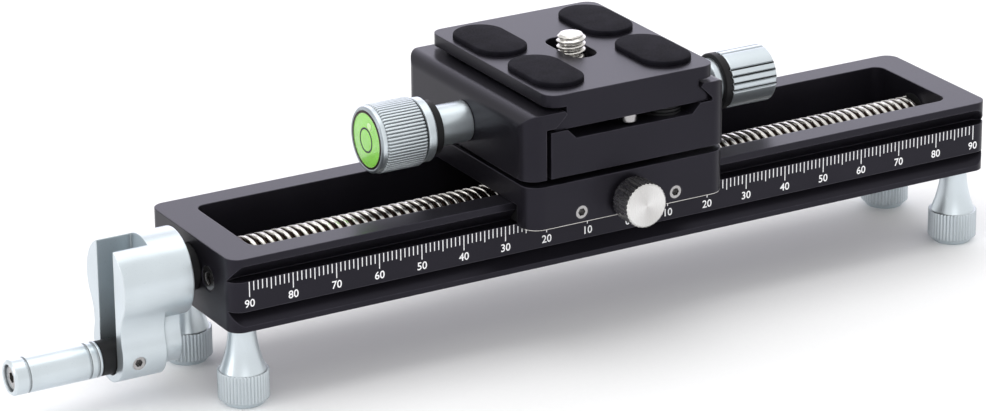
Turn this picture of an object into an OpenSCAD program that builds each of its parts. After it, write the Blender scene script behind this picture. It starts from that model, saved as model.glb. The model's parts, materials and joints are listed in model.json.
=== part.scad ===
// Macro focusing rail: a dovetailed rail with a lead screw and a folding crank,
// a gibbed carriage, a rotating quick-release clamp and its plate.
// Origin: underside of the rail, at scale zero and on the rail's mid-plane.
// +X runs along the rail away from the crank, +Y to the back, +Z up.

/* [Rail] */
// Length of the rail
rail_l = 188; // [150:1:260]
// Width of the rail across its dovetail foot
rail_w = 38; // [36:0.5:46]
// Height of the rail
rail_h = 16; // [15:0.25:20]
// Radius of the rail's vertical corners
rail_corner = 3; // [2:0.25:6]
// Height of the upright edge under the foot groove
foot_land = 1.2; // [0.8:0.1:2]
// Height of the foot groove's flat ceiling
foot_groove_top = 4.45; // [3.5:0.05:5]
// Height of the guide groove's flat floor
guide_groove_floor = 11; // [10:0.1:12]
// Height of the upright edge above the guide groove
guide_land = 1.6; // [1:0.1:2.5]
// Radius of the dovetail cutter that runs out of the grooves
cutter_r = 6.3; // [5:0.1:8]
// Distance from the rail's end to where the cutter stops
cutter_stop = 3.3; // [3:0.1:8]
// Width of the trough for the lead screw
trough_w = 26.8; // [24:0.2:28]
// Corner radius of the trough
trough_corner = 2.5; // [2:0.5:6]
// Thickness of the floor under the trough
trough_floor = 3.2; // [2:0.1:3.2]
// Thickness of the end wall at the crank
crank_wall = 7.6; // [6:0.1:10]
// Thickness of the end wall at the far end
far_wall = 7.1; // [6.8:0.1:12]
// Wall radius of the 3/8 inch tripod socket
socket_r = 4; // [3.5:0.05:4.5]
// Wall radius of the two 1/4 inch sockets
small_socket_r = 2.55; // [2.4:0.05:3]
// Distance of each 1/4 inch socket from the middle
small_socket_x = 35; // [20:1:60]

/* [Lead screw and bearings] */
// Outside diameter of the lead screw
screw_d = 8; // [7:0.1:8.4]
// Height of the lead screw's axis
screw_z = 8.8; // [8.4:0.1:9.2]
// Diameter of the screw's end journals
journal_d = 6; // [4:0.25:6.5]
// Outside diameter of the bearing bushes
bush_d = 9; // [8:0.25:10]
// Length of the far bush
far_bush_l = 5; // [4:0.25:6]
// Thickness of the bearing plate inside the crank wall
bearing_plate_t = 2; // [1.5:0.25:3]
// Width of the bearing plate
bearing_plate_w = 21.6; // [20:0.2:21.8]
// Length of the thrust ring inside the bearing plate
thrust_ring_l = 2; // [1.5:0.25:3]
// Diameter of the collar between the crank and the rail
collar_d = 10; // [9:0.25:10.5]
// Distance of each bearing screw from the lead screw's axis
bearing_screw_y = 8.1; // [8:0.1:8.6]
// Diameter of the bearing screws' heads
bearing_head_d = 5.2; // [4.6:0.1:5.4]
// Diameter of the bearing screws
bearing_screw_d = 3; // [2.5:0.1:3.5]

/* [Feet] */
// Distance of the feet from the rail's ends
foot_inset = 4.8; // [4.6:0.1:5.2]
// Distance of the feet from the rail's sides
foot_side_inset = 5.7; // [5.4:0.1:6.2]
// Height of a foot below the rail
foot_h = 17.6; // [12:0.2:26]
// Diameter of a foot's knurled base
foot_d = 10.8; // [9:0.2:13]
// Height of the knurled base
foot_base_h = 7.3; // [5:0.1:9]
// Diameter of a foot's neck
foot_neck_d = 5.7; // [5:0.1:7]
// Diameter of a foot's stud
foot_stud_d = 4; // [3:0.25:4]
// Length of a foot's stud
foot_stud_l = 6; // [4:0.25:7]
// Teeth in the knurl of a foot
foot_teeth = 42; // [24:1:48]

/* [Crank and handle] */
// Radius of the crank's hub
hub_r = 9.2; // [8.8:0.1:10]
// Radius of the crank's lower lobe
lobe_r = 7.1; // [6.9:0.1:8]
// Distance from the screw's axis down to the lobe's centre
lobe_drop = 14.3; // [13:0.1:18]
// Radius of the hollow between the hub and the lobe
waist_r = 8.8; // [7:0.1:12]
// Gap between the rail and the crank
crank_gap = 3.6; // [2.5:0.1:6]
// Length of the crank's hub along the screw
crank_l = 15.6; // [14:0.1:20]
// Length of the lobe at its full width
lobe_l = 9.9; // [9.6:0.1:10.2]
// Length of the stepped-in part behind the lobe
step_l = 4.3; // [3.5:0.1:4.6]
// How far that part is stepped in
step_in = 1.8; // [1:0.1:2.2]
// Width of the handle slot
slot_w = 8; // [7.8:0.05:9]
// Depth of the handle slot from the crank's outer face
slot_depth = 7.8; // [7.7:0.1:8.4]
// Distance from the screw's axis down to the handle's pivot
pivot_drop = 16; // [15.5:0.1:17]
// Distance of the pivot from the crank's outer face
pivot_in = 3.7; // [3.6:0.05:3.8]
// Diameter of the handle's pivot pin
pivot_d = 3; // [2:0.1:3.5]
// Diameter of the handle's grip
grip_d = 7.6; // [6.5:0.1:7.6]
// Length of the grip
grip_l = 19.6; // [14:0.2:30]
// Distance from the pivot to the root of the grip
grip_root = 6.5; // [4.5:0.1:8]
// Diameter of the spindle inside the grip
spindle_d = 4; // [3:0.1:4.5]
// Depth of the recess in the grip's end
grip_recess = 2.2; // [1:0.1:4]
// Distance of the grip's outer groove from its end
grip_groove_in = 3.3; // [2.5:0.1:5]
// Distance between the two grooves near the grip's root
grip_groove_pitch = 1.7; // [1.2:0.1:3]

/* [Carriage] */
// Place of the carriage along the rail's scale
carriage_x = -4.1; // [-12:0.1:12]
// Length of the carriage along the rail
carriage_l = 48.6; // [44:0.2:60]
// Width of the carriage across the rail
carriage_w = 52.8; // [50.8:0.2:56]
// Height of the skirts' lower edge
skirt_z = 11.5; // [11.3:0.05:11.8]
// Thickness of the carriage above the rail
carriage_roof = 5; // [4:0.1:7]
// Radius of the carriage's vertical corners
carriage_corner = 3.75; // [1:0.25:5]
// Thickness of the gib
gib_t = 2; // [1.6:0.1:2.4]
// Distance between the gib screws
gib_screw_gap = 23.1; // [18:0.1:30]
// Height of the gib screws
gib_screw_z = 13.7; // [13.3:0.1:14.2]
// Diameter of the gib screws
gib_screw_d = 3; // [2.5:0.1:3.4]
// Length of the drive nut
nut_l = 18; // [12:0.5:26]
// Width of the drive nut
nut_w = 16; // [14:0.5:20]
// Thickness of the slide strips
strip_t = 0.8; // [0.5:0.1:1.2]
// Diameter of the lock knob
lock_d = 9.8; // [8:0.1:9.8]
// Length of the lock knob
lock_l = 6.2; // [4:0.1:10]
// Gap between the carriage and the lock knob
lock_gap = 0.8; // [0.6:0.1:4]
// Height of the lock knob's axis
lock_z = 15.1; // [14.6:0.05:15.2]
// Diameter of the lock knob's stud
lock_stud_d = 4; // [3:0.25:4.5]
// Teeth in the knurl of the lock knob
lock_teeth = 32; // [20:1:44]

/* [Pan pivot] */
// Gap between the carriage and the clamp
pan_gap = 1.35; // [1:0.05:2]
// Radius of the pivot post
post_r = 7; // [6:0.1:7.4]
// Radius of the retaining disc
disc_r = 9.5; // [8.5:0.1:9.6]
// Thickness of the retaining disc
disc_t = 1.65; // [1.4:0.05:1.8]
// Outer radius of the friction washer
washer_r = 20; // [14:0.5:24]
// Diameter of the pivot bolt
pan_bolt_d = 5; // [4:0.25:5.5]

/* [Clamp] */
// Length of the clamp along the rail, jaw included
clamp_l = 49.6; // [48:0.2:54]
// Width of the clamp across the rail
clamp_w = 52.2; // [48:0.2:60]
// Height of the clamp
clamp_h = 14.35; // [14.2:0.05:16]
// Radius of the clamp's vertical corners
clamp_corner = 3.75; // [1:0.25:5]
// Radius of the clamp's upper outer edges
clamp_edge = 2.8; // [1:0.1:3]
// Thickness of the moving jaw below the lip
jaw_t = 4.9; // [4.5:0.1:5.2]
// Gap between the jaw and the clamp's body
jaw_gap = 1.1; // [0.8:0.1:1.4]
// Depth of the scoops at the ends of the channel
scoop_depth = 2.1; // [1.5:0.1:2.2]
// Length of each scoop along the channel
scoop_l = 8; // [7:0.1:9]
// Width of the scoops at their floor
scoop_w = 28.4; // [20:0.2:29]
// Distance of the guide pins from the clamp's middle
pin_y = 16; // [14:0.5:20]
// Diameter of the guide pins
guide_pin_d = 4; // [3:0.25:4.2]
// Length of the jaw springs
spring_l = 5.4; // [4.5:0.1:6]

/* [Clamp knob] */
// Diameter of the clamp knob
clamp_knob_d = 14.8; // [13:0.1:14.8]
// Length of the clamp knob
clamp_knob_l = 13.4; // [10:0.1:20]
// Height of the clamp knob's axis above the clamp's underside
clamp_knob_rise = 6.15; // [6.1:0.05:6.3]
// Length of the neck between the knob and the jaw
clamp_neck_l = 10.1; // [10:0.1:14]
// Diameter of the neck
clamp_neck_d = 8.8; // [7:0.1:8.8]
// Diameter of the clamp screw
clamp_screw_d = 5; // [4:0.25:5]
// Radius of the level vial in the knob's end
vial_r = 5.8; // [4:0.1:6]
// Depth of the recess for the level vial
vial_depth = 3.2; // [2:0.1:5]
// Teeth in the knurl of the clamp knob
clamp_teeth = 50; // [30:1:60]

/* [Pan knob] */
// Diameter of the pan knob
pan_knob_d = 12.6; // [11:0.1:13]
// Length of the pan knob's grip
pan_knob_l = 11.4; // [8:0.1:16]
// Height of the pan knob's axis above the clamp's underside
pan_knob_rise = 3.6; // [2.6:0.05:4]
// Distance from the clamp's side to the pan knob's collar
pan_reach = 12.2; // [11.5:0.1:16]
// Length of the black collar
pan_collar_l = 2; // [1:0.1:3]
// Diameter of the pan knob's stud
pan_stud_d = 4; // [3:0.25:4.5]

/* [Plate] */
// Width of the plate across its dovetail
dovetail_w = 38.1; // [37.7:0.1:38.5]
// Width of the plate's upper flange
plate_w = 41; // [40.2:0.2:42]
// Length of the plate
plate_l = 50.8; // [46:0.2:52]
// Height from the plate's underside to its top
plate_h = 7.6; // [7.4:0.1:9.4]
// Depth of the plate's dovetail
dovetail_h = 2.9; // [2.7:0.05:3]
// Offset of the channel's middle from the clamp's middle
channel_x = 1.5; // [0.9:0.05:1.6]
// Radius of the plate's vertical corners
plate_corner = 3; // [1:0.25:5]
// Length of the camera slot
slot_l = 15; // [12:0.5:18]
// Thickness of the plate above the screw's recess
slot_roof = 2.8; // [2:0.1:3.5]
// Diameter of the camera screw
camera_screw_d = 6.35; // [6:0.05:6.5]
// Height of the camera screw above the plate
camera_screw_up = 3.2; // [2.5:0.1:6]
// Length of a rubber pad
pad_l = 20.4; // [16:0.1:21]
// Width of a rubber pad
pad_w = 11.6; // [8:0.1:12.4]
// Height of a rubber pad above the plate
pad_up = 1.2; // [0.6:0.1:2]
// Distance of the pads' middles from the plate's middle, along the rail
pad_x = 13.2; // [12.8:0.05:13.8]
// Distance of the pads' middles from the plate's middle, across the rail
pad_y = 11.8; // [11.2:0.05:12.4]
// Diameter of the stop pins under the plate
stop_d = 3.9; // [3:0.1:4.5]

/* [Fits] */
// Radial clearance of a shaft in its bearing
run_gap = 0.04; // [0.02:0.01:0.08]
// Clearance between sliding faces
slide_gap = 0.15; // [0.1:0.01:0.25]
// Gap between a turning knob and the face that it meets
face_gap = 0.1; // [0.05:0.01:0.3]

/* [Hidden] */
$fn = 96;
over = 1;                       // how far a cut runs past the face it opens
black = "#2b2a2e";
silver = "#c3cad0";
steel = "#9a9a98";
brass = "#b8963f";
rubber = "#1c1b1f";

// Rail
rail_x0 = -rail_l / 2;
rail_x1 = rail_l / 2;
groove_tilt = rail_h - guide_land - guide_groove_floor;   // both grooves have 45 degree faces
foot_tilt = foot_groove_top - foot_land;
trough_x0 = rail_x0 + crank_wall;
trough_x1 = rail_x1 - far_wall;
journal_r = journal_d / 2;
bush_r = bush_d / 2;
head_depth = 3;
foot_x = rail_x1 - foot_inset;
foot_y = rail_w / 2 - foot_side_inset;
foot_lip = 1.2;                 // chamfer round the bottom of a foot
knurl_depth = 0.32;

// Lead screw
thread_x0 = trough_x0 + bearing_plate_t + face_gap + thrust_ring_l;
thread_x1 = trough_x1 - 1;

// Crank: x0 is its outer face
crank_x1 = rail_x0 - crank_gap;
crank_x0 = crank_x1 - crank_l;
crank_pivot = [crank_x0 + pivot_in, 0, screw_z - pivot_drop];
slot_x = crank_x0 + slot_depth;
knuckle_r = slot_w / 2 - 0.15;
grip_x1 = crank_pivot[0] - grip_root;
grip_x0 = grip_x1 - grip_l;

// Carriage
roof_z = rail_h + slide_gap;
carriage_top = roof_z + carriage_roof - slide_gap;
skirt_in = rail_w / 2 + slide_gap;
gib_y = skirt_in + gib_t;
lip_shift = slide_gap * sqrt(2);
lock_y = carriage_w / 2 + lock_gap;

// Clamp
clamp_z = carriage_top + pan_gap;
clamp_top = clamp_z + clamp_h;
clamp_x0 = carriage_x - clamp_l / 2;
clamp_x1 = carriage_x + clamp_l / 2;
base_x0 = clamp_x0 + jaw_t + jaw_gap;
channel_mid = carriage_x + channel_x;
plate_z = clamp_top - 4.1;
channel_z = plate_z - face_gap;
dove_z = plate_z + 0.6;         // upright edge under the dovetail's slope
neck_w = dovetail_w - 2 * dovetail_h;
neck_z = dove_z + dovetail_h;
flange_z = neck_z + 1.4;
plate_top = plate_z + plate_h;
post_top = channel_z - 0.1 - disc_t;
disc_seat = post_top - 0.1;
scoop_z = channel_z - scoop_depth;
lip_flare = 0.6;
jaw_underside = channel_z + 0.8; // the jaw's upper part hangs over the clamp's body
stop_y = plate_l / 2 - 2.2;
shank_r = camera_screw_d / 2 - 0.3; // relieved below the thread, so that the screw stays captive
screw_head_r = 5.8;
washer_rim_r = screw_head_r + 0.4;
recess_w = 2 * washer_rim_r + 0.6;

// Knobs
clamp_axis_z = clamp_z + clamp_knob_rise;
knob_x1 = clamp_x0 - clamp_neck_l;
knob_x0 = knob_x1 - clamp_knob_l;
knob_flange = 1.2;
knob_groove = 0.5;
knob_rim = 1.4;
screw_end_x = carriage_x - disc_r - 0.9;
pin_z = clamp_z + clamp_h / 3;
pan_axis_z = clamp_z + pan_knob_rise;
pan_collar_x = clamp_x1 + pan_reach;
pan_grip_x = pan_collar_x + pan_collar_l;

// --- shared shapes ---

module round_rect(x, y, r) {
  square([x - 2 * r, y], center = true);
  square([x, y - 2 * r], center = true);
  for (sx = [-1, 1], sy = [-1, 1])
    translate([sx * (x / 2 - r), sy * (y / 2 - r)]) circle(r);
}

module round_block(x, y, h, r) {
  linear_extrude(h) round_rect(x, y, r);
}

module stadium(x, y) {
  square([x, y - x], center = true);
  for (s = [-1, 1]) translate([0, s * (y - x) / 2]) circle(x / 2);
}

// A cylinder along +X, from x0 to x1
module rod_x(x0, x1, r) {
  translate([x0, 0, 0]) rotate([0, 90, 0]) cylinder(h = x1 - x0, r = r);
}

// A cylinder along +Y, from y0 to y1
module rod_y(y0, y1, r) {
  translate([0, y0, 0]) rotate([-90, 0, 0]) cylinder(h = y1 - y0, r = r);
}

// A flat outline in Y and Z, drawn out along +X from x0
module along_x(x0, l) {
  translate([x0, 0, 0]) rotate([90, 0, 90]) linear_extrude(l) children();
}

// A flat outline in X and Z, drawn out along Y, centred
module along_y(l) {
  rotate([90, 0, 0]) linear_extrude(l, center = true) children();
}

// Straight knurl: pointed teeth round a circle
module knurl(r, teeth) {
  polygon([for (i = [0 : 2 * teeth - 1])
    let (a = 180 * i / teeth, q = i % 2 == 0 ? r : r - knurl_depth) [q * cos(a), q * sin(a)]]);
}

// --- rail ---

// One guide groove and one foot groove, on the side s of the rail
module side_grooves(s) {
  run0 = rail_x0 + cutter_stop;
  run1 = rail_x1 - cutter_stop;
  reach = rail_w / 2 + cutter_r + over;
  guide_y = rail_w / 2 - groove_tilt;
  foot_in = rail_w / 2 - foot_tilt;
  along_x(run0, run1 - run0) scale([s, 1]) {
    polygon([[guide_y, guide_groove_floor], [reach, guide_groove_floor],
      [reach, rail_h - guide_land], [guide_y + groove_tilt, rail_h - guide_land]]);
    polygon([[foot_in + foot_tilt, foot_land], [reach, foot_land],
      [reach, foot_groove_top], [foot_in, foot_groove_top]]);
  }
  for (x = [run0, run1]) {
    translate([x, s * (guide_y + cutter_r), guide_groove_floor])
      cylinder(h = groove_tilt, r1 = cutter_r, r2 = cutter_r - groove_tilt);
    translate([x, s * (foot_in + cutter_r), foot_land])
      cylinder(h = foot_tilt, r1 = cutter_r - foot_tilt, r2 = cutter_r);
  }
}

module rail_body() {
  trough_l = trough_x1 - trough_x0;
  color(black) difference() {
    round_block(rail_l, rail_w, rail_h, rail_corner);
    translate([(trough_x0 + trough_x1) / 2, 0, trough_floor])
      round_block(trough_l, trough_w, rail_h, trough_corner);
    for (s = [-1, 1]) side_grooves(s);
    // bearings
    translate([0, 0, screw_z]) {
      rod_x(rail_x0 - over, trough_x0 + over, bush_r + 0.01);
      rod_x(trough_x1 - over, trough_x1 + far_bush_l, bush_r + 0.01);
    }
    // bearing screws and their counterbores
    for (s = [-1, 1]) translate([0, s * bearing_screw_y, screw_z]) {
      rod_x(rail_x0 - over, trough_x0 + over, bearing_screw_d / 2 + 0.1);
      rod_x(rail_x0 - over, rail_x0 + head_depth + 0.1, bearing_head_d / 2 + 0.15);
    }
    // tripod sockets
    translate([0, 0, -over]) cylinder(h = trough_floor + 2 * over, r = socket_r);
    for (s = [-1, 1])
      translate([s * small_socket_x, 0, -over]) cylinder(h = trough_floor + 2 * over, r = small_socket_r);
    // threads for the feet
    for (sx = [-1, 1], sy = [-1, 1])
      translate([sx * foot_x, sy * foot_y, -over])
        cylinder(h = foot_stud_l + 0.4 + over, r = foot_stud_d / 2 + run_gap);
  }
}

module bush(x0, x1) {
  color(rubber) translate([0, 0, screw_z]) difference() {
    rod_x(x0, x1, bush_r);
    rod_x(x0 - over, x1 + over, journal_r + run_gap);
  }
}

module crank_end_bush() { bush(rail_x0, trough_x0); }
module far_end_bush() { bush(trough_x1, trough_x1 + far_bush_l); }

module bearing_plate() {
  color(steel) difference() {
    translate([0, 0, screw_z]) along_x(trough_x0, bearing_plate_t)
      round_rect(bearing_plate_w, 2 * (screw_z - trough_floor) - 1, 3);
    translate([0, 0, screw_z]) {
      rod_x(trough_x0 - over, trough_x0 + bearing_plate_t + over, journal_r + 0.4);
      for (s = [-1, 1]) translate([0, s * bearing_screw_y, 0])
        rod_x(trough_x0 - over, trough_x0 + bearing_plate_t + over, bearing_screw_d / 2 + 0.01);
    }
  }
}

module bearing_screws() {
  color(steel) for (s = [-1, 1]) translate([0, s * bearing_screw_y, screw_z]) difference() {
    union() {
      rod_x(rail_x0 + 0.1, rail_x0 + head_depth, bearing_head_d / 2);
      rod_x(rail_x0 + 0.1, trough_x0 + bearing_plate_t, bearing_screw_d / 2);
    }
    translate([rail_x0, 0, 0]) rotate([0, 90, 0]) cylinder(h = 1.9, r = 1.45, $fn = 6);
  }
}

// A foot: stud, waisted neck and knurled base
module foot(sx, sy) {
  neck_r = foot_neck_d / 2;
  base_r = foot_d / 2;
  core_r = base_r - knurl_depth - 0.05;
  shoulder = foot_h - foot_base_h;
  flare = core_r - 0.1 - neck_r;
  sweep_r = (pow(shoulder, 2) + pow(flare, 2)) / (2 * flare);
  color(silver) translate([sx * foot_x, sy * foot_y, -foot_h]) {
    translate([0, 0, foot_lip]) linear_extrude(foot_base_h - foot_lip) knurl(base_r, foot_teeth);
    cylinder(h = foot_lip, r1 = base_r - foot_lip, r2 = core_r);
    translate([0, 0, foot_base_h]) rotate_extrude() difference() {
      square([core_r, shoulder - 0.02]);
      translate([neck_r + sweep_r, shoulder]) circle(sweep_r);
    }
    cylinder(h = foot_h + foot_stud_l, r = foot_stud_d / 2);
  }
}

module foot_front_left() { foot(-1, -1); }
module foot_front_right() { foot(1, -1); }
module foot_back_left() { foot(-1, 1); }
module foot_back_right() { foot(1, 1); }

// --- drive ---

module lead_screw() {
  color(steel) translate([0, 0, screw_z]) {
    rod_x(thread_x0, thread_x1, screw_d / 2);
    rod_x(slot_x + 1, trough_x1 + far_bush_l - 0.2, journal_r);
  }
}

module ring_x(x0, x1, r) {
  translate([0, 0, screw_z]) difference() {
    rod_x(x0, x1, r);
    rod_x(x0 - over, x1 + over, journal_r + 0.01);
  }
}

module crank_collar() {
  color(rubber) ring_x(crank_x1, rail_x0 - face_gap, collar_d / 2);
}

module inner_thrust_ring() {
  color(steel) ring_x(thread_x0 - thrust_ring_l, thread_x0, screw_d / 2 - 0.1);
}

// Hub and lobe joined by hollow flanks, in Y and Z about the screw's axis
module crank_outline(inset = 0) {
  hub = hub_r - inset;
  lobe = lobe_r - inset;
  waist = waist_r + inset;
  flank_z = -(pow(lobe_drop, 2) + pow(hub + waist, 2) - pow(lobe + waist, 2)) / (2 * lobe_drop);
  flank_y = sqrt(pow(hub + waist, 2) - pow(flank_z, 2));
  hub_touch = [flank_y, flank_z] * hub / (hub + waist);
  lobe_touch = [flank_y * lobe, flank_z * lobe - lobe_drop * waist] / (lobe + waist);
  circle(hub);
  translate([0, -lobe_drop]) circle(lobe);
  difference() {
    polygon([[0, 0], hub_touch, lobe_touch, [0, -lobe_drop],
      [-lobe_touch[0], lobe_touch[1]], [-hub_touch[0], hub_touch[1]]]);
    for (s = [-1, 1]) translate([s * flank_y, flank_z]) circle(waist);
  }
}

module crank_body() {
  color(silver) difference() {
    translate([0, 0, screw_z]) {
      along_x(crank_x0, lobe_l) crank_outline();
      along_x(crank_x0, lobe_l + step_l) crank_outline(step_in);
      rod_x(crank_x0, crank_x1, hub_r);
    }
    // slot that takes the folded handle, rounded under the pivot
    translate([crank_x0 - over, -slot_w / 2, crank_pivot[2]])
      cube([slot_depth + over, slot_w, pivot_drop + hub_r + over]);
    translate([0, 0, crank_pivot[2]]) rod_x(crank_x0 - over, slot_x, slot_w / 2);
    translate(crank_pivot) rod_y(-lobe_r - over, lobe_r + over, pivot_d / 2 + 0.01);
    translate([0, 0, screw_z]) rod_x(slot_x + 0.8, crank_x1 + over, journal_r + 0.01);
  }
}

module handle_pivot_pin() {
  half = sqrt(pow(lobe_r, 2) - pow(pivot_drop - lobe_drop, 2)) - 0.35;
  color(steel) translate(crank_pivot) difference() {
    rod_y(-half, half, pivot_d / 2);
    translate([0, -half - over, 0]) rotate([-90, 0, 0]) cylinder(h = 1.6 + over, r = 0.85, $fn = 6);
  }
}

module handle_root() {
  color(rubber) translate(crank_pivot) difference() {
    union() {
      sphere(knuckle_r);
      rod_x(-grip_root + 0.05, 0, knuckle_r - 0.15);
    }
    rod_y(-slot_w, slot_w, pivot_d / 2 + run_gap);
    rod_x(-grip_root - over, -pivot_d / 2 - 1, spindle_d / 2 - 0.3);
  }
}

module handle_spindle() {
  color(steel) translate([0, 0, crank_pivot[2]]) {
    rod_x(grip_x0 + grip_recess, grip_x1 - 0.02, spindle_d / 2);
    rod_x(grip_x1 - 0.02, crank_pivot[0] - pivot_d / 2 - 1.1, spindle_d / 2 - 0.32);
  }
}

module spindle_screw() {
  color(steel) translate([0, 0, crank_pivot[2]]) difference() {
    rod_x(grip_x0 + 0.6, grip_x0 + grip_recess - 0.02, spindle_d / 2 + 0.5);
    translate([grip_x0 - over, 0, 0]) rotate([0, 90, 0]) cylinder(h = over + 1.7, r = 1.2, $fn = 6);
  }
}

module handle_grip() {
  r = grip_d / 2;
  bore = spindle_d / 2 + run_gap;
  recess_r = spindle_d / 2 + 0.9;
  groove = 0.35;
  groove_w = 0.5;
  places = [grip_groove_in, grip_l - grip_groove_pitch - 1, grip_l - 1];
  color(silver) translate([grip_x0, 0, crank_pivot[2]]) rotate([0, 90, 0]) rotate_extrude() difference() {
    polygon([
      [recess_r, 0], [r - 0.4, 0], [r, 0.4], [r, grip_l - 0.3], [r - 0.3, grip_l],
      [bore, grip_l], [bore, grip_recess], [recess_r, grip_recess]]);
    for (x = places) translate([r - groove, x - groove_w / 2]) square([over, groove_w]);
  }
}

// --- carriage ---

module carriage_saddle() {
  skirt_h = carriage_top - skirt_z;
  lip_top = rail_h - guide_land - lip_shift + slide_gap;
  color(black) difference() {
    translate([carriage_x, 0, skirt_z]) round_block(carriage_l, carriage_w, skirt_h, carriage_corner);
    // room for the rail's head; the back lip stays, the front one is the gib
    along_x(carriage_x - carriage_l / 2 - over, carriage_l + 2 * over)
      polygon([[-gib_y, skirt_z - over], [-gib_y, roof_z], [skirt_in, roof_z], [skirt_in, lip_top],
        [skirt_in - (lip_top - skirt_z), skirt_z], [skirt_in - (lip_top - skirt_z), skirt_z - over]]);
    // pockets for the slide strips
    for (s = [-1, 1]) translate([carriage_x, s * (rail_w + trough_w) / 4, roof_z - over])
      linear_extrude(over + strip_t - slide_gap) square([carriage_l - 4, strip_w + 0.1], center = true);
    for (s = [-1, 1]) translate([carriage_x + s * gib_screw_gap / 2, 0, gib_screw_z])
      rod_y(-carriage_w / 2 - over, -gib_y + over, gib_screw_d / 2 + 0.01);
    translate([carriage_x, 0, lock_z])
      rod_y(-carriage_w / 2 - over, -gib_y + over, lock_stud_d / 2 + run_gap);
    for (s = [-1, 1]) translate([carriage_x + s * nut_screw_x, 0, roof_z - over])
      cylinder(h = over + 3, r = 1.26);
    // seat for the pivot post
    translate([carriage_x, 0, carriage_top - post_foot_t])
      cylinder(h = post_foot_t + over, r = post_foot_r + 0.02);
    translate([carriage_x, 0, roof_z - over]) cylinder(h = carriage_roof + over, r = pan_bolt_d / 2 + 0.01);
  }
}
strip_w = (rail_w - trough_w) / 2 - 1.2;
nut_screw_x = nut_l / 2 - 2.4;
post_foot_t = 1.6;
post_foot_r = post_r + 3.5;

module drive_nut() {
  bottom = trough_floor + 0.3;
  color(brass) difference() {
    translate([carriage_x, 0, bottom]) round_block(nut_l, nut_w, roof_z - bottom, 1.5);
    translate([0, 0, screw_z])
      rod_x(carriage_x - nut_l, carriage_x + nut_l, screw_d / 2 + run_gap);
    for (s = [-1, 1]) translate([carriage_x + s * nut_screw_x, 0, screw_z])
      cylinder(h = rail_h, r = 1.26);
  }
}

module nut_screws() {
  color(steel) for (s = [-1, 1])
    translate([carriage_x + s * nut_screw_x, 0, screw_z + screw_d / 2 + 0.3])
      cylinder(h = roof_z + 2.9 - screw_z - screw_d / 2 - 0.3, r = 1.25);
}

module gib_strip() {
  lip_top = rail_h - guide_land - lip_shift + slide_gap;
  color(black) along_x(carriage_x - carriage_l / 2 + 1, carriage_l - 2)
    polygon([[-gib_y + 0.05, skirt_z], [-gib_y + 0.05, roof_z - 0.1], [-skirt_in, roof_z - 0.1],
      [-skirt_in, lip_top], [-skirt_in + (lip_top - skirt_z), skirt_z]]);
}

module gib_screws() {
  color(steel) for (s = [-1, 1]) translate([carriage_x + s * gib_screw_gap / 2, 0, gib_screw_z])
    difference() {
      rod_y(-carriage_w / 2 + 0.2, -gib_y + 0.03, gib_screw_d / 2);
      translate([0, -carriage_w / 2 - over, 0]) rotate([-90, 0, 0])
        cylinder(h = over + 1.8, r = 0.87, $fn = 6);
    }
}

module slide_strips() {
  color("#e8e6df") for (s = [-1, 1])
    translate([carriage_x, s * (rail_w + trough_w) / 4, rail_h + 0.03])
      linear_extrude(strip_t - 0.05) square([carriage_l - 4.1, strip_w], center = true);
}

module pan_post() {
  color(steel) translate([carriage_x, 0, carriage_top - post_foot_t]) difference() {
    union() {
      cylinder(h = post_foot_t, r = post_foot_r);
      cylinder(h = post_top - carriage_top + post_foot_t, r = post_r);
    }
    translate([0, 0, -over]) cylinder(h = rail_h + 2 * over, r = pan_bolt_d / 2 + 0.01);
  }
}

module pan_disc() {
  bolt_r = pan_bolt_d / 2;
  color(steel) translate([carriage_x, 0, post_top]) difference() {
    cylinder(h = disc_t, r = disc_r);
    translate([0, 0, -over]) cylinder(h = disc_t + 2 * over, r = bolt_r + 0.01);
    translate([0, 0, disc_t - 1.2]) cylinder(h = 1.2 + 0.01, r1 = bolt_r + 0.01, r2 = bolt_r + 1.22);
  }
}

module pan_bolt() {
  bolt_r = pan_bolt_d / 2;
  color(steel) difference() {
    translate([carriage_x, 0, 0]) {
      translate([0, 0, roof_z + 0.2]) cylinder(h = post_top + disc_t - 1.2 - roof_z, r = bolt_r);
      translate([0, 0, post_top + disc_t - 1.2]) cylinder(h = 1.15, r1 = bolt_r, r2 = bolt_r + 1.15);
    }
    translate([carriage_x, 0, post_top + disc_t - 2.2]) cylinder(h = 3, r = 1.7, $fn = 6);
  }
}

module friction_washer() {
  color(rubber) translate([carriage_x, 0, carriage_top]) difference() {
    cylinder(h = pan_gap - 0.05, r = washer_r);
    translate([0, 0, -over]) cylinder(h = pan_gap + 2 * over, r = post_r + 0.3);
  }
}

module lock_knob() {
  r = lock_d / 2;
  color(steel) translate([carriage_x, -lock_y, lock_z]) rotate([90, 0, 0]) {
    cylinder(h = 0.5, r = r - knurl_depth - 0.05);
    translate([0, 0, 0.5]) linear_extrude(lock_l - 0.8) knurl(r, lock_teeth);
    translate([0, 0, lock_l - 0.3]) cylinder(h = 0.3, r1 = r - 0.1, r2 = r - 0.4);
    translate([0, 0, -lock_gap + face_gap]) cylinder(h = lock_gap, r = lock_stud_d / 2 + 1);
    translate([0, 0, gib_y - lock_y + 0.1]) cylinder(h = lock_y - gib_y, r = lock_stud_d / 2);
  }
}

// --- clamp ---

// The clamp's outside, seen along Y: upright sides with rounded upper edges
module clamp_outline() {
  translate([clamp_x0, clamp_z]) {
    square([clamp_l, clamp_h - clamp_edge]);
    translate([clamp_edge, 0]) square([clamp_l - 2 * clamp_edge, clamp_h]);
    for (x = [clamp_edge, clamp_l - clamp_edge])
      translate([x, clamp_h - clamp_edge]) circle(clamp_edge);
  }
}

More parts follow.
